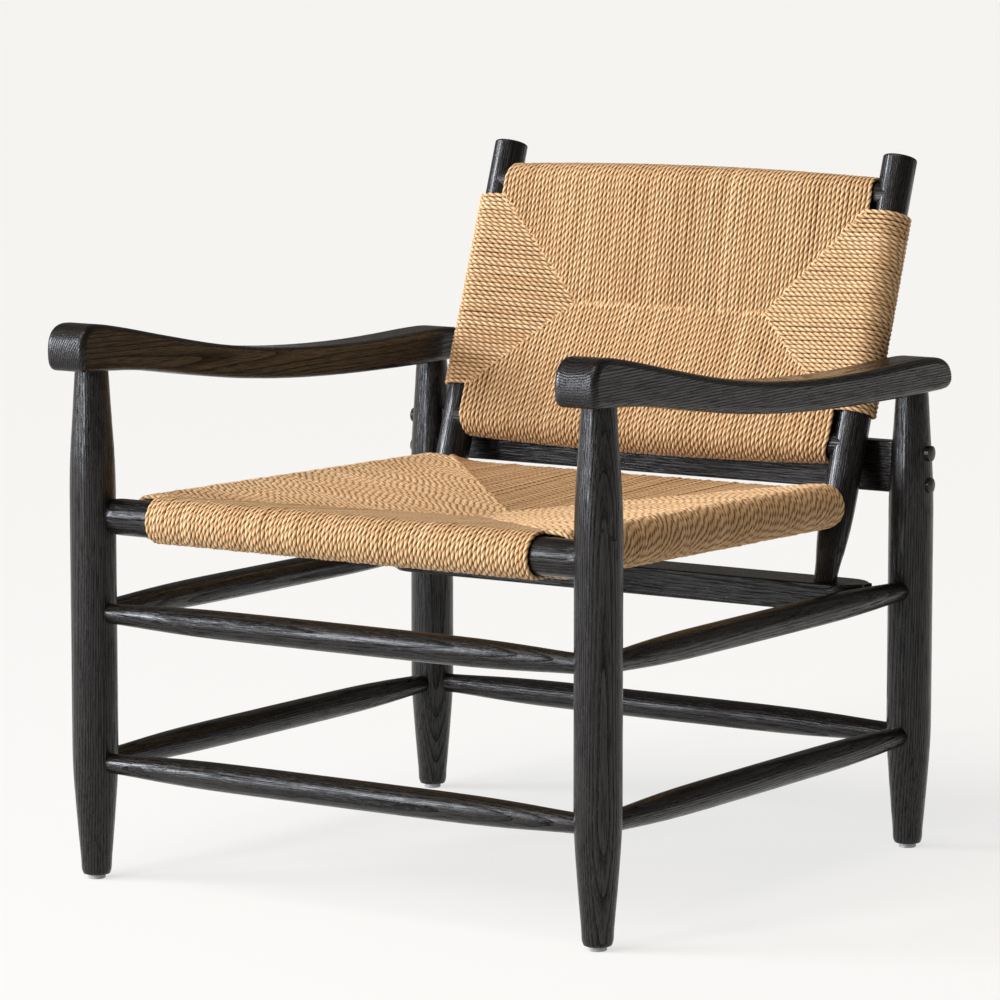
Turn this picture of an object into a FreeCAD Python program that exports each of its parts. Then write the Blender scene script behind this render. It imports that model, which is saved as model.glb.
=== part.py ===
import FreeCAD, Part
import math
import os

from FreeCAD import Vector

# Lounge armchair: turned ash frame, cord-woven seat and back.  Millimetres, +Z up, the sitter faces -Y.
# Lengthwise positions are written from the middle between the front and rear leg rows; every piece is
# then moved by -DEPTH_MIDDLE, so the origin is on the floor under the middle of the overall depth.

# ---- driving dimensions -------------------------------------------------------------------------
LEG_X = 318.0
LEG_Y = 315.0
LEG_RADIUS = 24.5
GLIDE_RADIUS = 9.5
GLIDE_HEIGHT = 5.5
TENON_RADIUS = 9.0

STRETCHER_LOW_Z = 126.0
STRETCHER_HIGH_Z = 287.0

SEAT_FRONT_Z = 390.0
SEAT_REAR_Z = 382.5
SEAT_BACK_RAIL_Z = 375.5
SEAT_SETBACK = 9.0
FRONT_WEAVE_X = 241.0
SEAT_CENTRE_TOP_Z = 384.0
SEAT_CENTRE_BOTTOM_Z = 368.0
RAIL_RADIUS = 19.5
SLIM_RAIL_RADIUS = 16.0
CORD = 5.5

POST_X = 257.5
POST_RADIUS = 19.0
POST_LENGTH = 478.0
POST_LEAN = 19.24
POST_FOOT_Y = 234.0
POST_FOOT_Z = 301.5
BACK_LOW_S = 150.0
BACK_HIGH_S = 431.5
BACK_SIDE_LOW_S = 185.0
BACK_SIDE_HIGH_S = 412.0
BACK_MIDDLE_HALF_THICKNESS = 8.0
BACK_RAIL_FORWARD = 3.0

ARM_WIDTH = 50.0
ARM_EDGE_RADIUS = 7.0
ARM_TENON_RADIUS = 10.0
ARM_TENON_LENGTH = 20.0

LOWER_BOARD_DEPTH = 58.0
LOWER_BOARD_THICKNESS = 31.0
LOWER_BOARD_Y = 236.0
CROSS_BOARD_FRONT_Y = 305.7
CROSS_BOARD_THICKNESS = 19.2
CROSS_BOARD_LOW_Z = 393.0
CROSS_BOARD_HIGH_Z = 449.0

PLUG_RADIUS = 8.5
PLUG_HEIGHTS = (402.5, 437.5)
PLUG_DOME = 3.0

DEPTH_MIDDLE = 23.79

# ---- turned profiles: (distance along the axis, radius) ------------------------------------------
LEG_FOOT = ((0.0, 14.2), (2.5, 15.3), (12.0, 16.3), (25.0, 17.3), (40.0, 18.6), (58.0, 20.1), (76.0, 21.5),
            (95.0, 22.9), (115.0, 24.0), (140.0, 24.5))
LEG_TOP = ((130.0, 24.5), (112.0, 24.25), (92.0, 23.6), (70.0, 22.3), (49.0, 20.9), (27.0, 19.5), (12.0, 18.6),
           (0.0, 17.8))
SPINDLE = ((18.0, 10.5), (30.0, 10.7), (46.0, 11.3), (60.0, 11.9), (75.0, 12.6), (100.0, 13.6), (130.0, 14.5),
           (170.0, 15.1), (220.0, 15.3))
POST_FOOT = ((0.0, 12.5), (10.0, 12.9), (20.0, 13.8), (31.0, 15.3), (43.0, 16.6), (60.0, 17.9), (84.0, 18.8),
             (100.0, 19.0))

# ---- armrest side profile: (lengthwise, height), underside from the nose to the rear end and back --
ARM_PROFILE = ((-350, 546.2), (-336, 545.5), (-315, 544.7), (-290, 543.3), (-265, 541.4), (-237, 538.2),
               (-200, 533.0), (-163, 527.5), (-125, 522.2), (-88, 517.7), (-50, 514.0), (-12, 510.8), (27, 508.3),
               (66, 506.4), (106, 505.0), (147, 504.1), (190, 503.6), (230, 503.4), (270, 503.5), (300, 503.8),
               (330, 504.4), (348, 505.0), (357.5, 507.3), (362.4, 513.0), (362.8, 520.0), (359.4, 528.2),
               (351.5, 535.4), (340, 539.7), (325, 541.7), (305, 542.2), (285, 541.9), (245, 540.6), (205, 539.5),
               (165, 538.9), (125, 539.1), (82, 540.1), (41, 541.8), (0, 544.3), (-40, 547.7), (-79, 552.2),
               (-122, 558.2), (-160, 564.7), (-196, 571.4), (-233, 578.5), (-268, 585.4), (-301, 591.4),
               (-320, 594.4), (-334, 595.6), (-345, 594.2), (-353.5, 589.3), (-358.8, 581.2), (-361, 571.0),
               (-361, 561.5), (-359.5, 553.5), (-356, 548.3))
ARM_REAR_UNDERSIDE = 20
ARM_REAR_TOP = 28
ARM_NOSE_TOP = 46


def lathe(profile, start, axis, smooth=True):
    """Solid of revolution: profile pairs (distance, radius) measured from start along axis."""
    axis = Vector(axis).normalize()
    outer = [Vector(r, 0, s) for s, r in profile]
    edges = [Part.makeLine(Vector(0, 0, profile[0][0]), outer[0])]
    if smooth and len(outer) > 2:
        curve = Part.BSplineCurve()
        curve.interpolate(outer)
        edges.append(curve.toShape())
    else:
        edges += [Part.makeLine(a, b) for a, b in zip(outer, outer[1:])]
    edges.append(Part.makeLine(outer[-1], Vector(0, 0, profile[-1][0])))
    edges.append(Part.makeLine(Vector(0, 0, profile[-1][0]), Vector(0, 0, profile[0][0])))
    solid = Part.Face(Part.Wire(edges)).revolve(Vector(0, 0, 0), Vector(0, 0, 1), 360)
    solid.Placement = FreeCAD.Placement(start, FreeCAD.Rotation(Vector(0, 0, 1), axis))
    return solid


def rod(start, end, radius):
    """Plain cylinder between two points."""
    span = end.sub(start)
    return Part.makeCylinder(radius, span.Length, start, span)


def mirrored(shape):
    return shape.mirror(Vector(0, 0, 0), Vector(1, 0, 0))


def block(x0, x1, y0, y1, z0, z1):
    return Part.makeBox(x1 - x0, y1 - y0, z1 - z0, Vector(x0, y0, z0))


def along_post(distance, x=POST_X):
    """Point on the back post axis, distance measured from its foot."""
    lean = math.radians(POST_LEAN)
    return Vector(x, POST_FOOT_Y + distance * math.sin(lean), POST_FOOT_Z + distance * math.cos(lean))


def post_axis():
    lean = math.radians(POST_LEAN)
    return Vector(0, math.sin(lean), math.cos(lean))


def post_at_height(z, x=POST_X):
    return along_post((z - POST_FOOT_Z) / math.cos(math.radians(POST_LEAN)), x)


def panel_normal():
    """Unit vector square to the reclined back, pointing to the rear."""
    lean = math.radians(POST_LEAN)
    return Vector(0, math.cos(lean), -math.sin(lean))


def back_rail_point(distance, x=POST_X):
    """Axis of a back rail, set slightly forward so its cord lies flush with the cord on the posts."""
    return along_post(distance, x) - panel_normal() * BACK_RAIL_FORWARD


def polyhedron(points, faces):
    """Closed solid from points and index loops."""
    shells = [Part.Face(Part.makePolygon([points[i] for i in loop] + [points[loop[0]]])) for loop in faces]
    return Part.Solid(Part.Shell(shells))


# ---- armrests and legs ------------------------------------------------------------------------------
def make_arm_blank():
    curve = Part.BSplineCurve()
    points = [Vector(LEG_X - ARM_WIDTH / 2, y, z) for y, z in ARM_PROFILE]
    curve.interpolate(Points=points, PeriodicFlag=True)
    breaks = [curve.parameter(points[i]) for i in (0, ARM_REAR_UNDERSIDE, ARM_REAR_TOP, ARM_NOSE_TOP)]
    breaks[0] = curve.FirstParameter
    breaks.append(curve.LastParameter)
    outline = Part.Wire([curve.toShape(a, b) for a, b in zip(breaks, breaks[1:])])
    arm = Part.Face(outline).extrude(Vector(ARM_WIDTH, 0, 0))
    rims = [e for e in arm.Edges if abs(e.BoundBox.XMax - e.BoundBox.XMin) < 0.01]
    return arm.makeFillet(ARM_EDGE_RADIUS, rims)


def leg_profile(top):
    foot = [(GLIDE_HEIGHT + s, r) for s, r in LEG_FOOT]
    head = [(top - s, r) for s, r in LEG_TOP]
    return foot, head


def make_leg_blank(y, top):
    """Leg without joints, running a little into the armrest so its head can be fitted to it."""
    foot, head = leg_profile(top)
    place = Vector(LEG_X, y, 0)
    up = Vector(0, 0, 1)
    lower = lathe(foot, place, up)
    middle = lathe([(foot[-1][0], LEG_RADIUS), (head[0][0], LEG_RADIUS)], place, up)
    upper = lathe(head, place, up)
    cap = lathe([(top, LEG_TOP[-1][1]), (top + 4, LEG_TOP[-1][1] - 0.2)], place, up)
    return lower.fuse([middle, upper, cap]).removeSplitter()


# ---- spindles, rails and posts ----------------------------------------------------------------------
def make_spindle(start, end):
    """Stretcher thin at both ends and full in the middle, measured between leg axes."""
    span = end.sub(start)
    length = span.Length
    near = list(SPINDLE)
    far = [(length - s, r) for s, r in reversed(SPINDLE)]
    return lathe(near + [(length / 2, SPINDLE[-1][1] + 0.1)] + far, start, span)


def tenon_pair(start, end, radius, surface, depth_stop):
    """Round tenons at both ends of a member; depth_stop is how near they come to each leg axis."""
    way = end.sub(start).normalize()
    first = rod(start + way * depth_stop, start + way * (surface + 4), radius)
    second = rod(end - way * (surface + 4), end - way * depth_stop, radius)
    return [first, second]


def make_post_blank():
    foot = lathe([(-8.0, 12.4)] + list(POST_FOOT), along_post(0), post_axis())
    crown = 2.5
    shaft = lathe([(POST_FOOT[-1][0], POST_RADIUS), (POST_LENGTH, POST_RADIUS)], along_post(0), post_axis())
    rims = [e for e in shaft.Edges if abs(e.CenterOfMass.sub(along_post(POST_LENGTH)).Length) < 1.0]
    shaft = shaft.makeFillet(crown, rims)
    return foot.fuse(shaft).removeSplitter()


def make_lower_board():
    """Flat board between the side stretchers; the ends narrow in plan and section to meet them."""
    half = LOWER_BOARD_DEPTH / 2
    z0 = POST_FOOT_Z - LOWER_BOARD_THICKNESS
    reach = LEG_X - 8
    taper = 40
    outline = [Vector(0, -half, 0), Vector(reach - taper, -half, 0), Vector(reach - taper * 0.45, -half * 0.84, 0),
               Vector(reach - taper * 0.12, -half * 0.42, 0), Vector(reach, -half * 0.30, 0)]
    spline = Part.BSplineCurve()
    spline.interpolate(Points=outline[1:], Tangents=[Vector(1, 0, 0), Vector(0.9, 0.5, 0), Vector(0.9, 0.7, 0),
                                                      Vector(1, 0.1, 0)], TangentFlags=[True, False, False, True])
    front = [Part.makeLine(outline[0], outline[1]), spline.toShape()]
    back = [e.mirror(Vector(0, 0, 0), Vector(0, 1, 0)) for e in front]
    tip = Part.makeLine(outline[-1], Vector(reach, half * 0.30, 0))
    spine = Part.makeLine(Vector(0, half, 0), Vector(0, -half, 0))
    face = Part.Face(Part.Wire(Part.__sortEdges__(front + [tip] + back + [spine])))
    right = face.extrude(Vector(0, 0, LOWER_BOARD_THICKNESS))
    right.translate(Vector(0, LOWER_BOARD_Y, z0))
    board = right.fuse(mirrored(right)).removeSplitter()
    long_edges = [e for e in board.Edges if e.BoundBox.XMax - e.BoundBox.XMin > 300]
    return board.makeFillet(2.0, long_edges)


def make_cross_board():
    """Upright board between the rear legs, its ends rounded in plan where they enter the legs."""
    reach = LEG_X - 13
    board = block(-reach, reach, CROSS_BOARD_FRONT_Y, CROSS_BOARD_FRONT_Y + CROSS_BOARD_THICKNESS,
                  CROSS_BOARD_LOW_Z, CROSS_BOARD_HIGH_Z)
    ends = [e for e in board.Edges if e.BoundBox.ZMax - e.BoundBox.ZMin > 20]
    board = board.makeFillet(9.0, ends)
    long_edges = [e for e in board.Edges if e.BoundBox.XMax - e.BoundBox.XMin > 300]
    return board.makeFillet(2.0, long_edges)


def make_plug(z):
    """Domed wooden plug closing a screw hole on the outer side of a rear leg."""
    stem = Part.makeCylinder(PLUG_RADIUS, 10, Vector(LEG_X + 14, LEG_Y, z), Vector(1, 0, 0))
    dome = Part.makeSphere(26, Vector(LEG_X + LEG_RADIUS + PLUG_DOME - 26 - 1.0, LEG_Y, z))
    core = Part.makeCylinder(PLUG_RADIUS, 26, Vector(LEG_X + 14, LEG_Y, z), Vector(1, 0, 0))
    return stem.fuse(core.common(dome)).removeSplitter()


# ---- woven seat and back ----------------------------------------------------------------------------
def make_seat_weave(frame):
    """Cord wound over the four seat rails; the two faces draw together toward the middle."""
    roll = RAIL_RADIUS + CORD
    slim = SLIM_RAIL_RADIUS + CORD
    inner = FRONT_WEAVE_X
    front_y = seat_front_y()
    back_y = post_at_height(SEAT_BACK_RAIL_Z).y
    side_start = Vector(POST_X, front_y + RAIL_RADIUS, side_rail_z(front_y + RAIL_RADIUS))
    side_stop_y = post_at_height(SEAT_REAR_Z).y - POST_RADIUS - 3
    side_stop = Vector(POST_X, side_stop_y, side_rail_z(side_stop_y))
    front = rod(Vector(-inner, front_y, SEAT_FRONT_Z), Vector(inner, front_y, SEAT_FRONT_Z), roll)
    side = rod(side_start, side_stop, roll)
    end_rims = [e for e in side.Edges if abs(e.BoundBox.YMax - side_stop_y) < 1.5 and e.BoundBox.YLength < 2]
    side = side.makeFillet(11.0, end_rims)
    inner_back = POST_X - POST_RADIUS
    back = rod(Vector(-inner_back, back_y, SEAT_BACK_RAIL_Z), Vector(inner_back, back_y, SEAT_BACK_RAIL_Z), slim)
    web = weave_web([(-POST_X, front_y, SEAT_FRONT_Z, roll), (POST_X, front_y, SEAT_FRONT_Z, roll),
                     (POST_X, side_stop_y, side_rail_z(side_stop_y), roll - 3.0),
                     (-POST_X, side_stop_y, side_rail_z(side_stop_y), roll - 3.0)],
                    (0, (front_y + back_y) / 2), SEAT_CENTRE_TOP_Z, SEAT_CENTRE_BOTTOM_Z)
    rear_web = weave_web([(-inner_back, side_stop_y - 40, side_rail_z(side_stop_y), slim),
                          (inner_back, side_stop_y - 40, side_rail_z(side_stop_y), slim),
                          (inner_back, back_y, SEAT_BACK_RAIL_Z, slim), (-inner_back, back_y, SEAT_BACK_RAIL_Z, slim)],
                         (0, back_y - 20), SEAT_BACK_RAIL_Z + slim - 6, SEAT_BACK_RAIL_Z - slim + 6)
    corner_gap = block(-LEG_X, LEG_X, front_y - 40, front_y + RAIL_RADIUS, SEAT_FRONT_Z - 60, SEAT_FRONT_Z + 60)
    corner_gap = corner_gap.cut(block(-inner, inner, front_y - 50, front_y + 60, SEAT_FRONT_Z - 70, SEAT_FRONT_Z + 70))
    weave = web.cut(corner_gap).fuse([front, side, mirrored(side), back, rear_web]).removeSplitter()
    return weave.cut(frame)


def weave_web(corners, middle, top_z, bottom_z):
    """Two shallow pyramids base to base: the stretched cord between the rails."""
    points = [Vector(x, y, z + r) for x, y, z, r in corners]
    points += [Vector(x, y, z - r) for x, y, z, r in corners]
    points += [Vector(middle[0], middle[1], top_z), Vector(middle[0], middle[1], bottom_z)]
    faces = []
    for i in range(4):
        j = (i + 1) % 4
        faces += [(i, j, 8), (4 + j, 4 + i, 9), (i, 4 + i, 4 + j), (i, 4 + j, j)]
    return polyhedron(points, faces)


def make_back_weave(frame):
    """Cord wound over the two posts and the top and bottom back rails."""
    roll = POST_RADIUS + CORD
    slim = SLIM_RAIL_RADIUS + CORD
    post_roll = rod(along_post(BACK_SIDE_LOW_S), along_post(BACK_SIDE_HIGH_S), roll)
    inner = POST_X - POST_RADIUS - 1
    top = rod(back_rail_point(BACK_HIGH_S, -inner), back_rail_point(BACK_HIGH_S, inner), slim)
    bottom = rod(back_rail_point(BACK_LOW_S, -inner), back_rail_point(BACK_LOW_S, inner), slim)
    out = panel_normal()
    seam = 125.0
    middle_s = (BACK_LOW_S + BACK_HIGH_S) / 2
    panels = []
    frames = ((inner, BACK_LOW_S, BACK_HIGH_S, slim, BACK_RAIL_FORWARD),
              (POST_X, BACK_SIDE_LOW_S, BACK_SIDE_HIGH_S, roll, 0.0))
    for half_width, low, high, thick, forward in frames:
        rim = [(-half_width, low), (half_width, low), (half_width, high), (-half_width, high)]
        points = []
        for sign in (1, -1):
            points += [along_post(s, x) + out * (sign * thick - forward) for x, s in rim]
            points += [along_post(middle_s, x) + out * (sign * BACK_MIDDLE_HALF_THICKNESS) for x in (-seam, seam)]
        faces = [(0, 1, 5), (0, 5, 4), (1, 2, 5), (2, 3, 4), (2, 4, 5), (3, 0, 4)]
        faces += [tuple(6 + i for i in reversed(loop)) for loop in faces]
        for i in range(4):
            j = (i + 1) % 4
            faces += [(i, 6 + i, 6 + j), (i, 6 + j, j)]
        panels.append(polyhedron(points, faces))
    weave = panels[0].fuse([panels[1], post_roll, mirrored(post_roll), top, bottom]).removeSplitter()
    return weave.cut(frame)


def seat_front_y():
    """Lengthwise place of the front seat rail, a little behind the front leg axes."""
    return -LEG_Y + SEAT_SETBACK


def side_rail_z(y):
    """Height of the side seat rail axis, which falls gently toward the back."""
    rear_y = post_at_height(SEAT_REAR_Z).y
    front_y = seat_front_y()
    return SEAT_FRONT_Z + (SEAT_REAR_Z - SEAT_FRONT_Z) * (y - front_y) / (rear_y - front_y)


# ---- assembly -----------------------------------------------------------------------------------------
def build():
    nodes = {}
    arm = make_arm_blank()
    legs = {}
    for row, y, top in (("front", -LEG_Y, 544.0), ("rear", LEG_Y, 502.8)):
        blank = make_leg_blank(y, top)
        head = rod(Vector(LEG_X, y, top - 20), Vector(LEG_X, y, top + ARM_TENON_LENGTH), ARM_TENON_RADIUS)
        arm = arm.cut(rod(Vector(LEG_X, y, top - 40), Vector(LEG_X, y, top + ARM_TENON_LENGTH), ARM_TENON_RADIUS))
        legs[row] = (blank, head)
    arm_envelope = make_arm_blank()

    fl, fr = Vector(-LEG_X, -LEG_Y, 0), Vector(LEG_X, -LEG_Y, 0)
    rl, rr = Vector(-LEG_X, LEG_Y, 0), Vector(LEG_X, LEG_Y, 0)
    low, high = Vector(0, 0, STRETCHER_LOW_Z), Vector(0, 0, STRETCHER_HIGH_Z)
    runs = {"stretcher_front_lower": (fl + low, fr + low), "stretcher_front_upper": (fl + high, fr + high),
            "stretcher_rear_lower": (rl + low, rr + low), "stretcher_right_lower": (fr + low, rr + low),
            "stretcher_right_upper": (fr + high, rr + high)}
    blanks = [legs["front"][0], legs["rear"][0]]
    blanks += [mirrored(b) for b in blanks]
    tenons = []
    for name, (start, end) in runs.items():
        pair = tenon_pair(start, end, TENON_RADIUS, LEG_RADIUS, 11.0)
        tenons += pair
        nodes[name] = make_spindle(start, end).cut(blanks).fuse(pair).removeSplitter()

    # front seat rail: bare and slightly eased at both ends
    seat_l = Vector(-LEG_X, seat_front_y(), SEAT_FRONT_Z)
    seat_r = Vector(LEG_X, seat_front_y(), SEAT_FRONT_Z)
    width = 2 * LEG_X
    eased = [(16.0, 17.2), (22.0, 18.4), (28.0, 19.2), (36.0, RAIL_RADIUS)]
    ends = [lathe(eased, seat_l, Vector(1, 0, 0)), lathe(eased, seat_r, Vector(-1, 0, 0))]
    shaft = lathe([(36.0, RAIL_RADIUS), (width - 36.0, RAIL_RADIUS)], seat_l, Vector(1, 0, 0))
    front_blank = shaft.fuse(ends).removeSplitter()
    front_tenons = tenon_pair(seat_l, seat_r, 12.0, LEG_RADIUS, 5.0)
    front_rail = front_blank.cut(blanks).fuse(front_tenons).removeSplitter()

    # back posts and the rails between them
    post_blank = make_post_blank()
    posts = [post_blank, mirrored(post_blank)]
    joints = []
    rails = {}
    rail_runs = {"back_rail_top": back_rail_point(BACK_HIGH_S), "back_rail_bottom": back_rail_point(BACK_LOW_S),
                 "seat_rail_back": post_at_height(SEAT_BACK_RAIL_Z)}
    for name, right in rail_runs.items():
        left = Vector(-right.x, right.y, right.z)
        body = rod(left, right, SLIM_RAIL_RADIUS).cut(posts)
        pair = tenon_pair(left, right, 8.0, POST_RADIUS, 9.5)
        joints += pair
        middle = max(body.Solids, key=lambda s: s.Volume)
        rails[name] = middle.fuse(pair).removeSplitter()

    # side seat rails: housed in the front rail, running back into the posts
    rear_point = Vector(POST_X, post_at_height(SEAT_REAR_Z).y, SEAT_REAR_Z)
    front_point = Vector(POST_X, seat_front_y(), SEAT_FRONT_Z)
    run = rear_point.sub(front_point)
    length = run.Length
    side_profile = [(0.0, RAIL_RADIUS), (length - 90.0, RAIL_RADIUS)]
    side_taper = [(length - 90.0, RAIL_RADIUS), (length - 55.0, 18.6), (length - 30.0, 16.4), (length, 14.5)]
    side_body = lathe(side_profile, front_point, run).fuse(lathe(side_taper, front_point, run))
    side_body = side_body.removeSplitter().cut([front_blank, post_blank])
    side_body = max(side_body.Solids, key=lambda s: s.Volume)
    way = Vector(run).normalize()
    front_peg = rod(front_point + way * 7, front_point + way * (RAIL_RADIUS + 6), 9.0)
    rear_peg = rod(rear_point - way * (POST_RADIUS + 8), rear_point - way * 9.5, 8.0)
    side_rail = side_body.fuse([front_peg, rear_peg]).removeSplitter()
    front_rail = front_rail.cut([front_peg, mirrored(front_peg)])
    rails["seat_rail_back"] = rails["seat_rail_back"].cut([side_rail, mirrored(side_rail)])

    # boards
    lower = make_lower_board()
    foot_peg = rod(along_post(-16), along_post(6), 8.0)
    cross = make_cross_board()
    post = post_blank.cut([lower] + joints + [rear_peg])
    post = max(post.Solids, key=lambda s: s.Volume).fuse(foot_peg).removeSplitter()
    side_high = nodes["stretcher_right_upper"]
    board_solid = lower.common(block(-LEG_X + 4, LEG_X - 4, 0, LEG_Y, 0, 400))
    nodes["stretcher_right_upper"] = side_high.cut(board_solid)
    nodes["lower_board"] = board_solid.cut([foot_peg, mirrored(foot_peg)])
    nodes["cross_board"] = cross.cut(posts)

    # legs take every socket
    cuts = tenons + front_tenons + [cross]
    cuts += [make_plug(z) for z in PLUG_HEIGHTS]
    for row, (blank, head) in legs.items():
        leg = blank.cut(cuts + [arm_envelope])
        leg = max(leg.Solids, key=lambda s: s.Volume).fuse(head).removeSplitter()
        nodes["leg_%s_right" % row] = leg
        nodes["leg_%s_left" % row] = mirrored(leg)
    nodes["armrest_right"] = arm
    nodes["armrest_left"] = mirrored(arm)
    for level in ("upper", "lower"):
        nodes["stretcher_left_" + level] = mirrored(nodes["stretcher_right_" + level])
    nodes["seat_rail_front"] = front_rail
    nodes["seat_rail_right"] = side_rail
    nodes["seat_rail_left"] = mirrored(side_rail)
    nodes["back_post_right"] = post
    nodes["back_post_left"] = mirrored(post)
    nodes.update(rails)

    plugs = [make_plug(z) for z in PLUG_HEIGHTS]
    nodes["screw_plugs"] = Part.makeCompound(plugs + [mirrored(p) for p in plugs])
    for row, y in (("front", -LEG_Y), ("rear", LEG_Y)):
        glide = Part.makeCylinder(GLIDE_RADIUS, GLIDE_HEIGHT, Vector(LEG_X, y, 0))
        rim = [e for e in glide.Edges if e.BoundBox.ZMax < 0.01]
        glide = glide.makeFillet(1.2, rim)
        nodes["glide_%s_right" % row] = glide
        nodes["glide_%s_left" % row] = mirrored(glide)

    # weaving, with channels for every rail and post it goes round
    seat_frame = [front_blank, side_body, mirrored(side_body), nodes["seat_rail_back"]] + posts
    nodes["seat_weave"] = make_seat_weave(seat_frame)
    back_frame = [nodes["back_rail_top"], nodes["back_rail_bottom"]] + posts
    nodes["back_weave"] = make_back_weave(back_frame)
    return nodes


os.makedirs("parts", exist_ok=True)
for node, shape in build().items():
    shape.translate(Vector(0, -DEPTH_MIDDLE, 0))
    shape.exportStep("parts/%s.step" % node)
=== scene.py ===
import math

import bpy
import numpy as np
from mathutils import Matrix, Vector


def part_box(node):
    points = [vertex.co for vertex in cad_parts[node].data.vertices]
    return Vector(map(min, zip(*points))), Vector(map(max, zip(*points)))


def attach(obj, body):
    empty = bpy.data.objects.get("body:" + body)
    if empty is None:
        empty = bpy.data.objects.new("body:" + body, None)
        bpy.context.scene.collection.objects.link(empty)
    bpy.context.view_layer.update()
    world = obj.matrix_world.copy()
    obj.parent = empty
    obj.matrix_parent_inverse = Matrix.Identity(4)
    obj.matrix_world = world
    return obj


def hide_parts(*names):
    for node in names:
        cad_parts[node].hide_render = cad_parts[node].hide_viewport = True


# Lounge armchair in black-stained ash with seat and back wound in twisted paper cord.
# Metres, +Z up, the sitter faces -Y.  The wood is the CAD frame; every strand of cord is modelled here.

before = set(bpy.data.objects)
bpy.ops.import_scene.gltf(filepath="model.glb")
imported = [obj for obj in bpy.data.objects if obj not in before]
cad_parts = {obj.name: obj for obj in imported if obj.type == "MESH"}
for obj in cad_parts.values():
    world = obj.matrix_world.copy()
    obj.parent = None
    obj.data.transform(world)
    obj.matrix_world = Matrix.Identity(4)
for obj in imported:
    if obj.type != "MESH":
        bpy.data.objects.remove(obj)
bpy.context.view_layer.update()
random = np.random.default_rng(4127)
MM = 0.001

# ---- dimensions of the woven parts, in millimetres, repeated from the CAD source --------------------
SHIFT_Y = -23.79
FRONT_Y = -306.0
FRONT_Z = 390.0
BACK_RAIL_Z = 375.5
BACK_RAIL_Y = 259.83
SIDE_X = 257.5
SIDE_Z_FRONT, SIDE_Z_REAR = 390.0, 382.5
SIDE_REAR_Y = 262.3
RAIL_SPAN = 240.0
FRONT_SHIFT = 2.5
SIDE_WEAVE_START, SIDE_WEAVE_END = -290.0, 240.0
SEAT_ROLL, SEAT_BACK_ROLL, SEAT_REAR_RIM = 25.0, 21.5, 23.2
SEAT_END_ROUNDING = 11.0
SEAT_TOP_Z, SEAT_BOTTOM_Z = 384.0, 368.0
SIDE_LEAN, SIDE_LEAN_FADE = 8.5, 10.0

POST_FOOT = (234.0, 301.5)
LEAN = math.radians(19.24)
POST_ROLL, PANEL_ROLL = 24.5, 21.5
PANEL_LOW_S, PANEL_HIGH_S = 150.0, 431.5
PANEL_SIDE_LOW_S, PANEL_SIDE_HIGH_S = 185.0, 412.0
PANEL_SPAN = 239.2
PANEL_SEAM_S, PANEL_SEAM_X = 291.0, 125.0
PANEL_HALF, REAR_RIM_IN = 8.0, 2.0
PANEL_FORWARD = 3.0
PANEL_CROWN = 5.4
TOP_LEAN_OUT, BOTTOM_LEAN_OUT = 3.5, 5.0
NEAR_TURN, FAR_TURN = 0.2, -2.0

# ---- the cord: two plies laid up right-handed ---------------------------------------------------------
CORD_RADIUS = 2.55
PLY_PITCH = 8.8
DIVE_DEPTH, DIVE_LENGTH = 5.6, 3.4
SEAM_RAMP, SEAM_SHARE, SEAM_GAP = 3.0, 0.7, 1.0
RING_ANGLES = np.radians([0, 38, 70, 90, 110, 142, 180, 218, 250, 270, 290, 322])
RING_RADII = np.array([1.0, 0.96, 0.82, 0.57, 0.82, 0.96] * 2) * CORD_RADIUS
ARC_POINTS, DIVE_POINTS = 40, 7
FINE_STEP, COARSE_STEP, PAST_RAIL = 1.8, 4.0, 12.0
SEAT_EDGE_TURNS, SEAT_SIDE_TURNS = 94, 107
BACK_EDGE_TURNS, BACK_SIDE_TURNS = 94, 45
CORE_INSET, CORE_POINTS, CORE_MARGIN, CORE_SIDE_MARGIN = 1.0, 90, 1.2, 4.0
EDGE_COLUMNS, SIDE_COLUMNS, POST_COLUMNS = 61, 71, 41
MAX_TRIANGLES = 170000
CENTRE_GAP = 0.2

# How much single turns differ.  A wave is its height and its length over two pi, along the turn.
RING_SPACING = (0.93, 1.06)
SWAY_WAVES = ((0.16, 31.0), (0.12, 13.0))
PITCH_RANGE, TWIST_WAVE = (0.95, 1.06), (0.25, 40.0)
THICKNESS_RANGE, THICKNESS_WAVE = (0.965, 1.025), (0.02, 9.0)
TONE_SPREAD, TONE_WAVE = 0.10, (0.10, 55.0)
GAP_SPREAD, LOOSE_SHARE, LOOSE_GAP = 0.045, 0.05, 0.13


def wrap_path(roll, roll_height, reach, upper, lower, rise=0.0, under=0.0):
    """Centre line of one turn of cord in its own plane: u runs inward from the rail axis, w is height.
    It starts at the upper seam, goes out over the rail, round it and back to the lower seam.  rise lifts
    the ends at the seam, under moves the dive inward or outward."""
    angles = []
    for height, sign in ((upper, 1.0), (lower, -1.0)):
        across, above = reach, height - roll_height
        distance = max(math.hypot(across, above), roll + 0.01)
        angles.append(math.atan2(above, across) + sign * math.acos(roll / distance))
    arc = np.linspace(angles[0], angles[1] + 2 * math.pi, ARC_POINTS)
    curve = np.stack([roll * np.cos(arc), roll_height + roll * np.sin(arc)], 1)
    depth = min(DIVE_DEPTH, 0.5 * (upper - lower) - CENTRE_GAP)
    steps = np.linspace(0, math.pi / 2, DIVE_POINTS)[1:]
    dive = np.stack([DIVE_LENGTH * np.sin(steps) + under, -depth * (1 - np.cos(steps))], 1)
    head = np.array([reach, upper + rise]) + dive[::-1]
    tail = np.array([reach, lower - rise]) + dive * [1, -1]
    edge, low_rise = reach + under, SEAM_SHARE * rise
    lead_in = [[edge, upper + rise], [edge - SEAM_RAMP, upper + low_rise]]
    lead_out = [[edge - SEAM_RAMP, lower - low_rise], [edge, lower - rise]]
    return np.concatenate([head, lead_in, curve, lead_out, tail])


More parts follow.
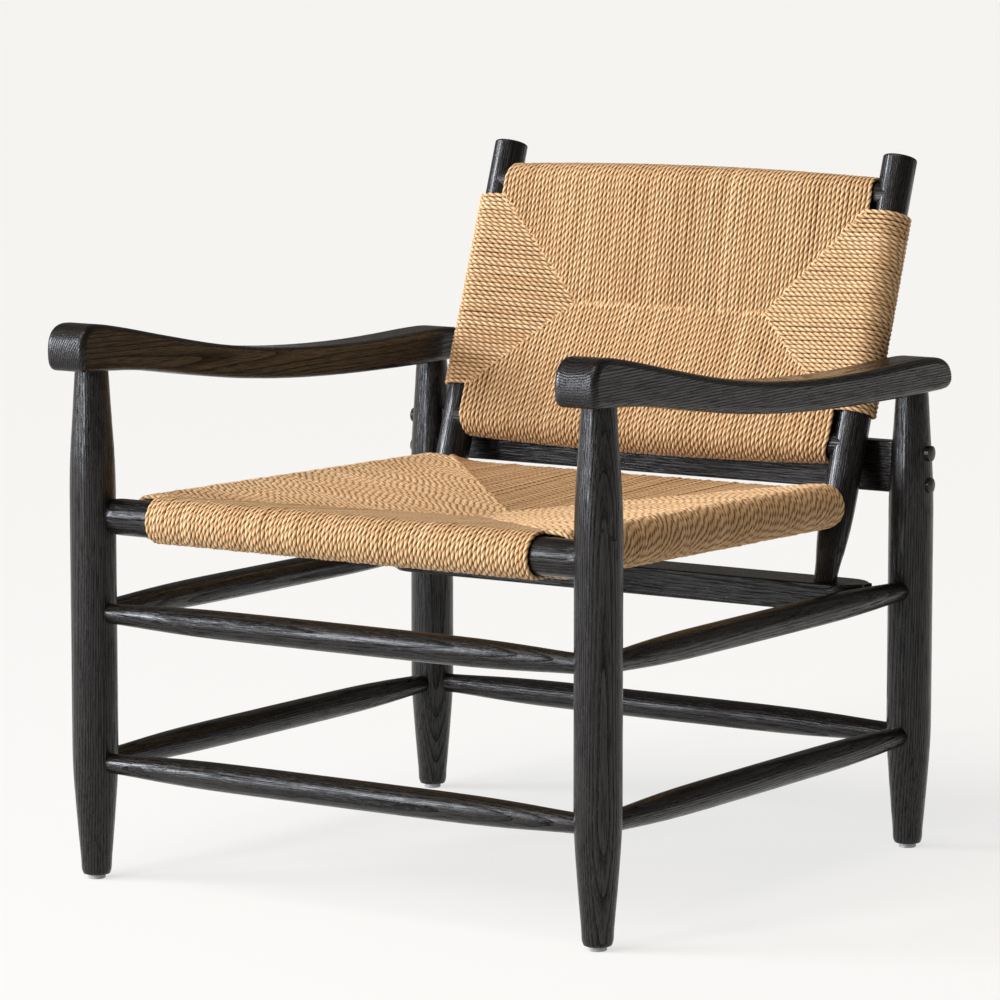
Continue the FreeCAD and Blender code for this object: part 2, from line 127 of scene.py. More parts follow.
def run_along(path):
    """Distance from the start of a path at each of its points."""
    return np.concatenate([[0], np.cumsum(np.linalg.norm(np.diff(path, axis=0), axis=1))])


def resample(path, step_of):
    """Points along a path and how far along they lie; step_of gives the spacing wanted at a point."""
    segments = np.linalg.norm(np.diff(path, axis=0), axis=1)
    path = path[np.concatenate([[True], segments > 1e-6])]
    length = run_along(path)
    wanted = [0.0]
    while wanted[-1] < length[-1]:
        here = np.array([np.interp(wanted[-1], length, path[:, k]) for k in range(2)])
        wanted.append(wanted[-1] + step_of(here))
    wanted = np.array(wanted) * (length[-1] / wanted[-1])
    return np.stack([np.interp(wanted, length, path[:, k]) for k in range(2)], 1), wanted


def wobble(run, wave):
    """Slow wave along a turn, starting anywhere in its period."""
    height, length = wave
    return height * np.sin(run / length + random.uniform(0, 6.28))


def new_object(name, data):
    made = bpy.data.objects.new(name, data)
    bpy.context.scene.collection.objects.link(made)
    return made


def smooth_object(mesh, material):
    mesh.shade_smooth()
    mesh.materials.append(material)
    return new_object(mesh.name, mesh)


class Weave:
    """Collects turns of cord and makes meshes of them, none above the triangle limit."""

    def __init__(self, name, lay=0.95, stray=0.45, uneven=0.0):
        """lay and stray: how far the twist moves on from one turn to the next, and how unevenly;
        uneven: how much higher or lower single turns lie."""
        self.name = name
        self.lay, self.stray, self.uneven = lay, stray, uneven
        self.phase = 0.0
        self.blocks = []

    def add(self, flat, place, across, step_of):
        """flat: path in (u, w); place(u, w, sway) gives xyz; across: unit vector square to the path's
        plane; step_of: spacing of the rings at a point of the path."""
        flat = flat + [0, random.normal(0, self.uneven)]
        stretch = random.uniform(*RING_SPACING)
        points, run = resample(flat, lambda here: step_of(here) * stretch)
        sway = sum(wobble(run, wave) for wave in SWAY_WAVES)
        centre = place(points[:, 0], points[:, 1], sway)
        along = np.gradient(centre, axis=0)
        along /= np.linalg.norm(along, axis=1)[:, None]
        side = np.broadcast_to(across, centre.shape)
        side = side - (side * along).sum(1)[:, None] * along
        side /= np.linalg.norm(side, axis=1)[:, None]
        out = np.cross(side, along)
        self.phase += self.lay + random.normal(0, self.stray)
        pitch = PLY_PITCH * random.uniform(*PITCH_RANGE)
        twist = self.phase + math.pi * run / pitch + wobble(run, TWIST_WAVE)
        size = random.uniform(*THICKNESS_RANGE) * (1 + wobble(run, THICKNESS_WAVE))
        angle = twist[:, None] + RING_ANGLES[None, :]
        radius = RING_RADII[None, :] * size[:, None]
        spokes = np.cos(angle)[..., None] * out[:, None, :] + np.sin(angle)[..., None] * side[:, None, :]
        rings = centre[:, None, :] + radius[..., None] * spokes
        tone = np.clip(0.5 + TONE_SPREAD * random.normal() + wobble(run, TONE_WAVE), 0, 1)
        self.blocks.append((rings, centre[0], centre[-1], tone))

    def meshes(self, material):
        """One object for each group of turns, with the point attributes tone and the depth in the lay
        between the plies, which weights the painted shade of the cord's grooves.
        """
        k = len(RING_ANGLES)
        groups, current, triangles = [], [], 0
        for block in self.blocks:
            size = 2 * k * len(block[0])
            if triangles + size > MAX_TRIANGLES:
                groups.append(current)
                current, triangles = [], 0
            current.append(block)
            triangles += size
        groups.append(current)
        made = []
        for number, group in enumerate(groups, 1):
            verts, quads, tris, tones, groove_shade = [], [], [], [], []
            base = 0
            for rings, first, last, tone in group:
                m = len(rings)
                verts += [rings.reshape(-1, 3), first[None], last[None]]
                i = np.arange(m - 1)[:, None] * k
                j = np.arange(k)[None, :]
                jn = (j + 1) % k
                quads.append((base + np.stack([i + j, i + jn, i + k + jn, i + k + j], -1)).reshape(-1, 4))
                j = np.arange(k)
                jn = (j + 1) % k
                top = (m - 1) * k
                tris.append(base + np.stack([np.full(k, m * k), jn, j], -1))
                tris.append(base + np.stack([np.full(k, m * k + 1), top + j, top + jn], -1))
                tones.append(np.concatenate([np.repeat(tone, k), tone[:1], tone[-1:]]))
                # Depth of each ring point in the lay between the plies, 1 in the groove; it weights the
                # painted shade there.
                depth = np.tile(1 - (RING_RADII - RING_RADII.min()) / np.ptp(RING_RADII), m)
                groove_shade.append(np.concatenate([depth, [1, 1]]))
                base += m * k + 2
            verts = np.concatenate(verts) * MM
            quads, tris = np.concatenate(quads), np.concatenate(tris)
            mesh = bpy.data.meshes.new("%s_%d" % (self.name, number))
            mesh.vertices.add(len(verts))
            mesh.vertices.foreach_set("co", verts.astype(np.float32).ravel())
            loops = np.concatenate([quads.ravel(), tris.ravel()]).astype(np.int32)
            starts = np.concatenate([np.arange(len(quads)) * 4, len(quads) * 4 + np.arange(len(tris)) * 3])
            mesh.loops.add(len(loops))
            mesh.loops.foreach_set("vertex_index", loops)
            mesh.polygons.add(len(starts))
            mesh.polygons.foreach_set("loop_start", starts.astype(np.int32))
            for label, values in (("tone", tones), ("groove_shade", groove_shade)):
                layer = mesh.attributes.new(label, "FLOAT", "POINT")
                layer.data.foreach_set("value", np.concatenate(values).astype(np.float32))
            mesh.update(calc_edges=True)
            mesh.validate()
            made.append(smooth_object(mesh, material))
        return made


def sheet_object(name, columns, material):
    """Surface through a row of equally long polylines: the shaded depth just under the cord."""
    grid = np.array(columns) * MM
    rows, n = grid.shape[:2]
    verts = grid.reshape(-1, 3)
    faces = [(i * n + j, (i + 1) * n + j, (i + 1) * n + j + 1, i * n + j + 1)
             for i in range(rows - 1) for j in range(n - 1)]
    mesh = bpy.data.meshes.new(name)
    mesh.from_pydata(verts.tolist(), [], faces)
    mesh.update()
    return smooth_object(mesh, material)


def spread(low, high, count):
    """Positions of the turns along a rail: nearly even, with a slightly wider gap here and there."""
    gaps = 1 + GAP_SPREAD * random.normal(size=count)
    gaps[random.random(count) < LOOSE_SHARE] += LOOSE_GAP
    edges = np.concatenate([[0], np.cumsum(gaps)])
    edges = low + (high - low) * edges / edges[-1]
    return (edges[1:] + edges[:-1]) / 2


def fade(value, start, length):
    """0 up to start, then rising evenly to 1 over the length given."""
    return np.clip((value - start) / length, 0, 1)


def lerp(a, b, t):
    """From a to b as t goes from 0 to 1, and no further."""
    return a + (b - a) * np.clip(t, 0, 1)


# ---- where the turns of the seat meet -------------------------------------------------------------------
def side_rail_z(y):
    return SIDE_Z_FRONT + (SIDE_Z_REAR - SIDE_Z_FRONT) * (y - FRONT_Y) / (SIDE_REAR_Y - FRONT_Y)


def seat_heights(t, rear):
    """Height of the upper and lower cord at a seam; t is 0 at the corner and 1 in the middle."""
    rail = side_rail_z(SIDE_WEAVE_END) if rear else FRONT_Z
    roll = (SEAT_REAR_RIM if rear else SEAT_ROLL) - CORD_RADIUS
    upper = lerp(rail + roll, SEAT_TOP_Z - CORD_RADIUS, t)
    lower = lerp(rail - roll, SEAT_BOTTOM_Z + CORD_RADIUS, t)
    return float(upper), float(lower)


def seat_front_turn(x, inset=0.0):
    """Turn of cord over the front rail at x; inset moves the whole path inward, for the core sheet."""
    t = 1 - abs(x) / RAIL_SPAN
    reach = (SIDE_WEAVE_START + t * RAIL_SPAN) - FRONT_Y
    upper, lower = seat_heights(t, False)
    return wrap_path(SEAT_ROLL - CORD_RADIUS - inset, FRONT_Z, reach, upper - inset, lower + inset)


def seat_rear_turn(x, inset=0.0):
    """Turn over the back rail at x."""
    t = 1 - abs(x) / RAIL_SPAN
    reach = BACK_RAIL_Y - (SIDE_WEAVE_END - t * RAIL_SPAN)
    upper, lower = seat_heights(t, True)
    return wrap_path(SEAT_BACK_ROLL - CORD_RADIUS - inset, BACK_RAIL_Z, reach, upper - inset, lower + inset)


def seat_side_turn(y, inset=0.0):
    """Turn over a side rail at y; the last turns at the rear are rounded off toward the legs."""
    from_front, from_rear = y - SIDE_WEAVE_START, SIDE_WEAVE_END - y
    rear = from_rear < from_front
    t = min(from_front, from_rear) / RAIL_SPAN
    upper, lower = seat_heights(t, rear)
    reach = SIDE_X - RAIL_SPAN + min(t, 1.0) * RAIL_SPAN
    end = max(0.0, SEAT_END_ROUNDING - from_rear) / SEAT_END_ROUNDING
    roll = SEAT_ROLL - CORD_RADIUS - SEAT_END_ROUNDING * (1 - math.sqrt(max(0.0, 1 - end * end)))
    height = side_rail_z(y)
    return wrap_path(roll - inset, height, reach - SEAM_GAP, min(upper, height + roll) - inset,
                     max(lower, height - roll) + inset, rise=0.7, under=-2.0 if t >= 1 else 0.0)


# ---- the same for the reclined back ---------------------------------------------------------------------
def panel_point(x, s, w):
    """s runs up the post from its foot, w toward the sitter."""
    y = POST_FOOT[0] + s * math.sin(LEAN) - w * math.cos(LEAN)
    z = POST_FOOT[1] + s * math.cos(LEAN) + w * math.sin(LEAN)
    return np.stack([x + 0 * y, y + SHIFT_Y, z], 1)


def panel_heights(t):
    """Height of the cord on the sitter's side and at the rear; t is 0 at the corner and 1 in the middle."""
    rim = POST_ROLL - CORD_RADIUS
    upper = lerp(rim, PANEL_HALF - CORD_RADIUS, t)
    lower = lerp(-rim + REAR_RIM_IN, -PANEL_HALF + CORD_RADIUS, t)
    return float(upper), float(lower)


def panel_edge_turn(x, top, inset=0.0):
    """Turn over the top or bottom rail; along the middle seam the turns stagger, so that they interlock."""
    t = (PANEL_SPAN - abs(x)) / (PANEL_SPAN - PANEL_SEAM_X)
    corner = PANEL_HIGH_S - PANEL_SIDE_HIGH_S if top else PANEL_SIDE_LOW_S - PANEL_LOW_S
    full = PANEL_HIGH_S - PANEL_SEAM_S if top else PANEL_SEAM_S - PANEL_LOW_S
    stagger = 0.0
    if t > 1 and not inset:
        stagger = NEAR_TURN if round(x * 10) % 2 else FAR_TURN
    reach = float(lerp(corner, full, t)) + stagger
    upper, lower = panel_heights(t)
    crown = PANEL_CROWN * (1 - (x / PANEL_SPAN) ** 2)
    roll = PANEL_ROLL - CORD_RADIUS - inset + crown
    return wrap_path(roll, PANEL_FORWARD, reach, upper - inset, lower + inset)


def panel_side_turn(s, inset=0.0):
    """Turn round a post at the height s."""
    if s > PANEL_SEAM_S:
        t = (PANEL_SIDE_HIGH_S - s) / (PANEL_SIDE_HIGH_S - PANEL_SEAM_S)
    else:
        t = (s - PANEL_SIDE_LOW_S) / (PANEL_SEAM_S - PANEL_SIDE_LOW_S)
    upper, lower = panel_heights(t)
    reach = SIDE_X - float(lerp(PANEL_SPAN, PANEL_SEAM_X, t))
    roll = POST_ROLL - CORD_RADIUS - inset
    return wrap_path(roll, 0.0, reach - SEAM_GAP, upper - inset, lower + inset, rise=0.8)


# ---- materials; colours are linear ----------------------------------------------------------------------
RINGS_PER_METRE = 1000 / 2.7
WOOD_RINGS = [(0.0, (0.0006, 0.0006, 0.0006)), (0.36, (0.0014, 0.0013, 0.0013)),
              (0.58, (0.0060, 0.0046, 0.0040)), (1.0, (0.0115, 0.0082, 0.0067))]
WOOD_CLOUD = (0.0065, 0.0058, 0.0053)
WOOD_PORE = (0.0006, 0.0006, 0.0006)
# Light grey of the painted glints where pore edges catch the light.
WOOD_PAINTED_GLINT = (0.100, 0.092, 0.086)
CORD_TONES = [(0.2, (0.48, 0.275, 0.116)), (0.55, (0.64, 0.407, 0.200)), (0.9, (0.78, 0.555, 0.316))]
# Painted shade: the dark brown mixed into the grooves between the plies.
CORD_GROOVE_SHADE = (0.07, 0.022, 0.005)
SHADOW_TONES = [(0.3, (0.030, 0.012, 0.005)), (0.7, (0.080, 0.034, 0.013))]
GLIDE_TONES = [(0.3, (0.20, 0.20, 0.20)), (0.7, (0.34, 0.34, 0.335))]


class Tree:
    """Small helper for building a node material."""

    def __init__(self, name):
        self.material = bpy.data.materials.new(name)
        self.material.use_nodes = True
        self.tree = self.material.node_tree
        self.tree.nodes.clear()
        self.out = self.node("ShaderNodeOutputMaterial")
        self.shader = self.node("ShaderNodeBsdfPrincipled")
        self.link(self.shader.outputs[0], self.out.inputs[0])

    def node(self, kind, **settings):
        made = self.tree.nodes.new(kind)
        for key, value in settings.items():
            setattr(made, key, value)
        return made

    def link(self, a, b):
        self.tree.links.new(a, b)

    def math(self, operation, a, b=0.0, clamp=False):
        made = self.node("ShaderNodeMath", operation=operation, use_clamp=clamp)
        for slot, value in enumerate((a, b)):
            if isinstance(value, (int, float)):
                made.inputs[slot].default_value = value
            else:
                self.link(value, made.inputs[slot])
        return made.outputs[0]

    def add(self, a, b):
        return self.math("ADD", a, b)

    def times(self, a, b):
        return self.math("MULTIPLY", a, b)

    def noise(self, vector, scale, detail=2.0, roughness=0.5):
        made = self.node("ShaderNodeTexNoise")
        made.inputs["Scale"].default_value = scale
        made.inputs["Detail"].default_value = detail
        made.inputs["Roughness"].default_value = roughness
        self.link(vector, made.inputs["Vector"])
        return made.outputs["Fac"]

    def mapped(self, vector, location=(0, 0, 0), rotation=(0, 0, 0), scale=(1, 1, 1)):
        made = self.node("ShaderNodeMapping")
        made.inputs["Location"].default_value = location
        made.inputs["Rotation"].default_value = rotation
        made.inputs["Scale"].default_value = scale
        self.link(vector, made.inputs["Vector"])
        return made.outputs[0]

    def ramp(self, fac, stops):
        made = self.node("ShaderNodeValToRGB")
        while len(made.color_ramp.elements) < len(stops):
            made.color_ramp.elements.new(0.5)
        for element, (position, colour) in zip(made.color_ramp.elements, stops):
            element.position = position
            element.color = (*colour, 1)
        self.link(fac, made.inputs[0])
        return made.outputs[0]

    def mix(self, fac, a, b):
        made = self.node("ShaderNodeMix", data_type="RGBA")
        for slot, value in ((0, fac), (6, a), (7, b)):
            if isinstance(value, (int, float)):
                made.inputs[slot].default_value = value
            elif isinstance(value, tuple):
                made.inputs[slot].default_value = (*value, 1)
            else:
                self.link(value, made.inputs[slot])
        return made.outputs[2]

    def bump(self, height, distance, strength=1.0, normal=None):
        made = self.node("ShaderNodeBump")
        made.inputs["Distance"].default_value = distance
        made.inputs["Strength"].default_value = strength
        self.link(height, made.inputs["Height"])
        if normal is not None:
            self.link(normal, made.inputs["Normal"])
        return made.outputs[0]


def ash_material(name, rotation, heart, seed):
    """Black-stained open-grained ash.  rotation turns the piece's length onto Z; heart is where the middle
    of the tree lies, in the turned frame, so that the rings cross the piece as curved bands."""
    t = Tree(name)
    place = t.node("ShaderNodeTexCoord").outputs["Object"]
    turned = t.mapped(place, rotation=rotation)
    local = t.mapped(turned, location=(-heart[0], -heart[1], seed * 0.37))
    stretched = t.mapped(local, scale=(1, 1, 0.10))
    warp = t.noise(stretched, 26.0, 2.0)
    split = t.node("ShaderNodeSeparateXYZ")
    t.link(local, split.inputs[0])
    across = t.add(t.math("POWER", split.outputs[0], 2.0), t.math("POWER", split.outputs[1], 2.0))
    bent = t.add(t.add(t.math("SQRT", across), t.times(split.outputs[2], 0.012)), t.times(warp, 0.008))
    rings = t.math("FRACT", t.times(bent, RINGS_PER_METRE))
    early = t.math("SUBTRACT", 1.0, t.times(rings, 2.2), clamp=True)

    fibre = t.noise(t.mapped(local, scale=(1, 1, 0.035)), 1100.0, 1.0)
    pores = t.math("MULTIPLY", t.math("SUBTRACT", fibre, 0.50), 7.0, clamp=True)
    deep = t.times(pores, t.add(t.times(early, 0.8), 0.2))
    fine = t.noise(t.mapped(local, scale=(1, 1, 0.12)), 1300.0, 1.0)
    cloud = t.noise(local, 9.0, 3.0)

    body = t.ramp(rings, WOOD_RINGS)
    body = t.mix(t.times(cloud, 0.22), body, WOOD_CLOUD)
    body = t.mix(t.times(deep, 0.9), body, WOOD_PORE)
    # Sparse light flecks along the grain, mostly in the early wood: painted glints where pore edges catch
    # the light.
    painted_glints = t.math("MULTIPLY", t.math("SUBTRACT", fine, 0.60), 8.0, clamp=True)
    body = t.mix(t.times(painted_glints, t.add(t.times(early, 0.30), 0.10)), body, WOOD_PAINTED_GLINT)
    t.link(body, t.shader.inputs["Base Color"])

    rough = t.add(0.15, t.times(fine, 0.10))
    rough = t.add(rough, t.times(deep, 0.30))
    rough = t.add(rough, t.times(early, 0.10))
    rough = t.add(rough, t.times(cloud, 0.06))
    t.link(rough, t.shader.inputs["Roughness"])
    hard = t.math("SUBTRACT", 1.0, t.times(early, 0.85))
    filled = t.math("SUBTRACT", 1.0, t.times(pores, 0.75))
    gloss = t.times(t.times(hard, filled), 0.35)
    t.link(t.add(0.03, gloss), t.shader.inputs["Specular IOR Level"])
    t.shader.inputs["Coat Weight"].default_value = 0.10
    t.shader.inputs["Coat Roughness"].default_value = 0.10

    height = t.add(t.times(deep, -1.0), t.times(fine, 0.12))
    height = t.math("SUBTRACT", height, t.times(early, 0.45))
    ridge = t.bump(height, 0.0004, 1.0)
    t.link(t.bump(warp, 0.0012, 0.08, ridge), t.shader.inputs["Normal"])
    return t.material


def cord_material():
    """Unbleached twisted paper cord: matt, golden tan; the lay between the plies is painted darker brown as
    painted shade.
    """
    t = Tree("paper_cord")
    place = t.node("ShaderNodeTexCoord").outputs["Object"]
    tone = t.node("ShaderNodeAttribute", attribute_name="tone").outputs["Fac"]
    groove_shade = t.node("ShaderNodeAttribute", attribute_name="groove_shade").outputs["Fac"]
    patch = t.noise(place, 38.0, 3.0, 0.6)
    crease = t.noise(place, 900.0, 2.0, 0.6)
    speck = t.noise(place, 420.0, 2.0, 0.5)
    level = t.add(t.times(tone, 0.55), t.times(patch, 0.30))
    level = t.add(level, t.times(speck, 0.25))
    # The grooves between the plies are painted darker brown: painted shade, strongest deep in the lay.
    colour = t.mix(t.math("POWER", groove_shade, 0.8), t.ramp(level, CORD_TONES), CORD_GROOVE_SHADE)
    t.link(colour, t.shader.inputs["Base Color"])
    t.link(t.add(0.58, t.times(crease, 0.25)), t.shader.inputs["Roughness"])
    t.shader.inputs["Specular IOR Level"].default_value = 0.35
    t.shader.inputs["Sheen Weight"].default_value = 0.08
    t.shader.inputs["Sheen Roughness"].default_value = 0.5
    t.link(t.bump(crease, 0.00030, 0.5), t.shader.inputs["Normal"])
    return t.material


def core_material():
    """Painted shade for the inside of the winding, seen only in the gaps between turns."""
    t = Tree("cord_shadow")
    place = t.node("ShaderNodeTexCoord").outputs["Object"]
    fibre = t.noise(place, 260.0, 3.0, 0.6)
    t.link(t.ramp(fibre, SHADOW_TONES), t.shader.inputs["Base Color"])
    t.link(t.add(0.8, t.times(fibre, 0.15)), t.shader.inputs["Roughness"])
    t.shader.inputs["Specular IOR Level"].default_value = 0.1
    t.link(t.bump(fibre, 0.0006, 0.6), t.shader.inputs["Normal"])
    return t.material


def glide_material():
    """Grey, slightly cloudy plastic of the foot glides."""
    t = Tree("glide_plastic")
    place = t.node("ShaderNodeTexCoord").outputs["Object"]
    cloud = t.noise(place, 240.0, 3.0)
    t.link(t.ramp(cloud, GLIDE_TONES), t.shader.inputs["Base Color"])
    t.link(t.add(0.28, t.times(cloud, 0.2)), t.shader.inputs["Roughness"])
    t.shader.inputs["Transmission Weight"].default_value = 0.15
    t.link(t.bump(t.noise(place, 1500.0), 0.0001, 0.4), t.shader.inputs["Normal"])
    return t.material


UPRIGHT = (0.0, 0.0, 0.0)
ACROSS = (0.0, math.pi / 2, 0.0)
LENGTHWISE = (math.pi / 2, 0.0, 0.0)
RECLINED = (LEAN, 0.0, 0.0)
LENGTHWISE_PIECES = ("armrest", "stretcher_left", "stretcher_right", "seat_rail_left", "seat_rail_right")


def turn_of(node):
    """Rotation that lays the length of a wooden piece along Z."""
    if node.startswith(("leg_", "glide_")):
        return UPRIGHT
    if node.startswith("back_post"):
        return RECLINED
    if node.startswith(LENGTHWISE_PIECES):
        return LENGTHWISE
    return ACROSS


glide = glide_material()
for number, (name, node) in enumerate(sorted(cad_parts.items())):
    if "weave" in name:
        continue
    if name.startswith("glide"):
        finish = glide
    else:
        turn = turn_of(name)
        low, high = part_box(name)
        rotation = Matrix.Rotation(turn[0], 3, "X") if turn[0] else Matrix.Rotation(turn[1], 3, "Y")
        middle = rotation @ ((low + high) / 2)
        way = random.uniform(0, 2 * math.pi)
        far = random.uniform(0.05, 0.09)
        heart = (middle.x + far * math.cos(way), middle.y + far * math.sin(way))
        finish = ash_material("ash_" + name, turn, heart, number)
    node.data.materials.clear()
    node.data.materials.append(finish)

cord = cord_material()
core = core_material()

# ---- seat -----------------------------------------------------------------------------------------------
seat_pieces, back_pieces = [], []
x_axis, y_axis = np.array([1.0, 0, 0]), np.array([0, 1.0, 0])


def seat_step(limit):
    """Coarser rings on the flat underside of the seat: below the height given and inward of the rail."""
    return lambda here: COARSE_STEP if here[1] < limit and here[0] > PAST_RAIL else FINE_STEP


def seat_front_place(x):
    slide = FRONT_SHIFT * abs(x) / RAIL_SPAN
    return lambda u, w, sway: np.stack([x + sway + slide, FRONT_Y + u + SHIFT_Y, w], 1)


def seat_rear_place(x):
    return lambda u, w, sway: np.stack([x + sway, BACK_RAIL_Y - u + SHIFT_Y, w], 1)


def seat_side_place(y, sign):
    """The foremost turns lean over the bare end of the front rail."""
    lean_over = SIDE_LEAN * math.exp(-(y - SIDE_WEAVE_START) / SIDE_LEAN_FADE)

    def place(u, w, sway):
        forward = lean_over * fade(w - FRONT_Z, 8, 12)
        return np.stack([sign * (SIDE_X - u), y + sway - forward + SHIFT_Y, w], 1)

    return place


weave = Weave("seat_cord_front", lay=1.0, stray=0.6, uneven=0.25)
for x in spread(-RAIL_SPAN, RAIL_SPAN, SEAT_EDGE_TURNS):
    weave.add(seat_front_turn(x), seat_front_place(x), x_axis, seat_step(FRONT_Z - 12))
seat_pieces += weave.meshes(cord)
weave = Weave("seat_cord_rear", lay=1.0, stray=1.6, uneven=0.35)
for x in spread(-RAIL_SPAN, RAIL_SPAN, SEAT_EDGE_TURNS):
    weave.add(seat_rear_turn(x), seat_rear_place(x), x_axis, seat_step(BACK_RAIL_Z - 8))
seat_pieces += weave.meshes(cord)
for side, sign in (("left", -1.0), ("right", 1.0)):
    weave = Weave("seat_cord_" + side, lay=1.0, stray=1.6, uneven=0.25)
    for y in spread(SIDE_WEAVE_START, SIDE_WEAVE_END, SEAT_SIDE_TURNS):
        weave.add(seat_side_turn(y), seat_side_place(y, sign), y_axis, seat_step(FRONT_Z - 14))
    seat_pieces += weave.meshes(cord)


def core_sheet(name, positions, turn, place):
    """Sheet in painted shade just inside the turns at the positions given; turn(position, inset) is their
    path.
    """
    columns = []
    for position in positions:
        path = turn(position, CORE_INSET)
        length = run_along(path)
        at = np.linspace(0, length[-1], CORE_POINTS)
        u, w = (np.interp(at, length, path[:, k]) for k in range(2))
        columns.append(place(position)(u, w, 0.0 * u))
    return sheet_object(name, columns, core)


across_rail = np.linspace(-RAIL_SPAN + CORE_MARGIN, RAIL_SPAN - CORE_MARGIN, EDGE_COLUMNS)
along_side = np.linspace(SIDE_WEAVE_START + CORE_SIDE_MARGIN, SIDE_WEAVE_END - CORE_SIDE_MARGIN,
                         SIDE_COLUMNS)
seat_pieces.append(core_sheet("seat_core_front", across_rail, seat_front_turn, seat_front_place))
seat_pieces.append(core_sheet("seat_core_rear", across_rail, seat_rear_turn, seat_rear_place))
for side, sign in (("left", -1.0), ("right", 1.0)):
    seat_pieces.append(core_sheet("seat_core_" + side, along_side, seat_side_turn,
                                  lambda y, sign=sign: seat_side_place(y, sign)))


# ---- back -----------------------------------------------------------------------------------------------
def panel_edge_place(x, top):
    """Near the posts the turns lean outward on the sitter's side, so that they close up to the post."""
    lean_out = TOP_LEAN_OUT if top else BOTTOM_LEAN_OUT
    lean_out = math.copysign(lean_out * (abs(x) / PANEL_SPAN) ** 9, x)

    def place(u, w, sway):
        over = fade(w, 4, 12) * fade(u, -16, 18)
        along = PANEL_HIGH_S - u if top else PANEL_LOW_S + u
        return panel_point(x + sway + lean_out * over, along, w)

    return place


def panel_side_place(s, sign):
    return lambda u, w, sway: panel_point(sign * (SIDE_X - u), s + sway, w)


def fine_step(here):
    return FINE_STEP


post_axis = np.array([0, math.sin(LEAN), math.cos(LEAN)])
across_panel = np.linspace(-PANEL_SPAN + CORE_MARGIN, PANEL_SPAN - CORE_MARGIN, EDGE_COLUMNS)
up_post = np.linspace(PANEL_SIDE_LOW_S + CORE_MARGIN, PANEL_SIDE_HIGH_S - CORE_MARGIN, POST_COLUMNS)
for top, name in ((True, "top"), (False, "bottom")):
    weave = Weave("back_cord_" + name)
    for x in spread(-PANEL_SPAN, PANEL_SPAN, BACK_EDGE_TURNS):
        weave.add(panel_edge_turn(x, top), panel_edge_place(x, top), x_axis, fine_step)
    back_pieces += weave.meshes(cord)
    back_pieces.append(core_sheet("back_core_" + name, across_panel,
                                  lambda x, inset, top=top: panel_edge_turn(x, top, inset),
                                  lambda x, top=top: panel_edge_place(x, top)))
for side, sign in (("left", -1.0), ("right", 1.0)):
    weave = Weave("back_cord_" + side)
    for s in spread(PANEL_SIDE_LOW_S, PANEL_SIDE_HIGH_S, BACK_SIDE_TURNS):
        weave.add(panel_side_turn(s), panel_side_place(s, sign), post_axis, fine_step)
    back_pieces += weave.meshes(cord)
    back_pieces.append(core_sheet("back_core_" + side, up_post, panel_side_turn,
                                  lambda s, sign=sign: panel_side_place(s, sign)))

for pieces, node in ((seat_pieces, "seat_weave"), (back_pieces, "back_weave")):
    for piece in pieces:
        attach(piece, "root")
        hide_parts(node)

# ---- floor, light and camera ----------------------------------------------------------------------------
FLOOR_HALF = 150
FLOOR_BASE, FLOOR_GLOW, GLOW_STRENGTH = (0.22, 0.22, 0.22, 1), (1.0, 0.999, 0.982, 1), 0.688
BACKDROP, FILL, FILL_STRENGTH = (0.92, 0.912, 0.885, 1), (1.0, 0.93, 0.85, 1), 0.17
COOL, WARM = (0.94, 0.985, 1.07), (1.0, 0.885, 0.77)

t = Tree("studio_floor")
t.shader.inputs["Base Color"].default_value = FLOOR_BASE
t.shader.inputs["Emission Color"].default_value = FLOOR_GLOW
t.shader.inputs["Emission Strength"].default_value = GLOW_STRENGTH
t.shader.inputs["Roughness"].default_value = 1.0
t.shader.inputs["Specular IOR Level"].default_value = 0.0
mesh = bpy.data.meshes.new("floor")
corners = [(FLOOR_HALF * i, FLOOR_HALF * j, 0) for i, j in ((-1, -1), (1, -1), (1, 1), (-1, 1))]
mesh.from_pydata(corners, [], [(0, 1, 2, 3)])
mesh.materials.append(t.material)
floor = new_object("floor", mesh)

world = bpy.data.worlds.new("studio")
bpy.context.scene.world = world
world.use_nodes = True
tree = world.node_tree
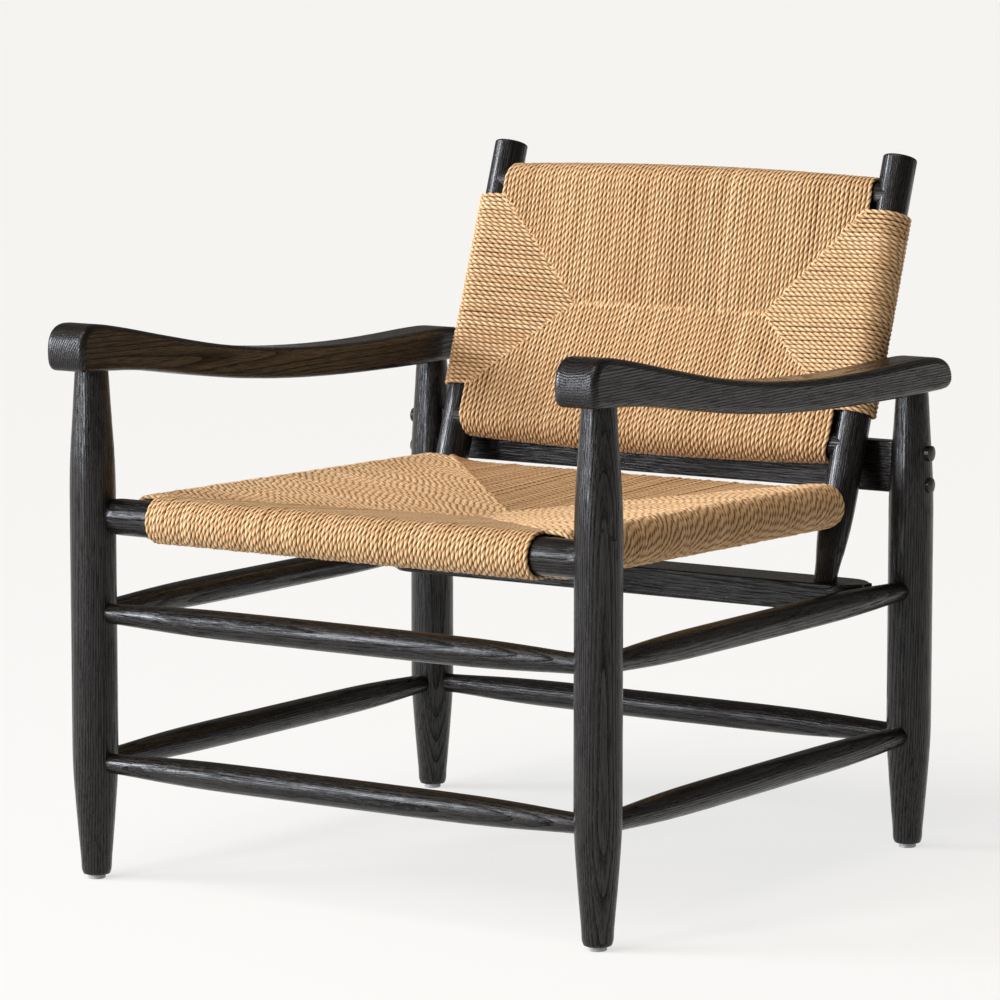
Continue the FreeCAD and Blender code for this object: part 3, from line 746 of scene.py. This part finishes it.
# The camera sees a pale backdrop; the chair is lit more weakly and more warmly than that.
shown, lit = tree.nodes["Background"], tree.nodes.new("ShaderNodeBackground")
shown.inputs[0].default_value = BACKDROP
shown.inputs[1].default_value = 1.0
lit.inputs[0].default_value = FILL
lit.inputs[1].default_value = FILL_STRENGTH
choose = tree.nodes.new("ShaderNodeMixShader")
tree.links.new(tree.nodes.new("ShaderNodeLightPath").outputs["Is Camera Ray"], choose.inputs[0])
tree.links.new(lit.outputs[0], choose.inputs[1])
tree.links.new(shown.outputs[0], choose.inputs[2])
tree.links.new(choose.outputs[0], tree.nodes["World Output"].inputs[0])


def lamp(name, kind, colour, energy, toward):
    """A light that shines from the direction given; toward points from the chair to the light."""
    data = bpy.data.lights.new(name, kind)
    data.color = colour
    data.energy = energy
    made = new_object(name, data)
    made.rotation_mode = "QUATERNION"
    made.rotation_quaternion = Vector(toward).to_track_quat("Z", "Y")
    return made


def soft_sun(name, toward, strength, width, colour):
    """Distant light; width is the angle it fills, in degrees."""
    lamp(name, "SUN", colour, strength, toward).data.angle = math.radians(width)


def softbox(name, location, width, height, power):
    """Upright panel of light facing the chair."""
    made = lamp(name, "AREA", COOL, power, (location[0], location[1], 0))
    made.location = location
    made.data.shape = "RECTANGLE"
    made.data.size, made.data.size_y = width, height


soft_sun("key", (-0.80, -0.55, 0.24), strength=4.4, width=26, colour=COOL)
soft_sun("top", (-0.10, -0.48, 0.87), strength=1.95, width=45, colour=WARM)
softbox("strip", (-1.1, -4.4, 1.45), width=0.9, height=2.6, power=118)
softbox("rim", (-2.7, -4.1, 1.7), width=0.45, height=2.6, power=64)

AZIMUTH, ELEVATION = math.radians(33.91), math.radians(7.362)
SENSOR_WIDTH = 36
FOCAL_LENGTH = 4.9361 * SENSOR_WIDTH
CAMERA_SPOT = (2.9273, -4.3948, 1.0755)
level = math.cos(ELEVATION)
back = Vector((math.sin(AZIMUTH) * level, -math.cos(AZIMUTH) * level, math.sin(ELEVATION)))
right = Vector((math.cos(AZIMUTH), math.sin(AZIMUTH), 0))
up = back.cross(right)
camera_data = bpy.data.cameras.new("camera")
camera_data.sensor_width = SENSOR_WIDTH
camera_data.lens = FOCAL_LENGTH
camera_data.clip_end = 400
camera = new_object("camera", camera_data)
turned = Matrix((right, up, back)).transposed().to_4x4()
camera.matrix_world = Matrix.Translation(CAMERA_SPOT) @ turned
bpy.context.scene.camera = camera
bpy.context.scene.view_settings.view_transform = "Standard"
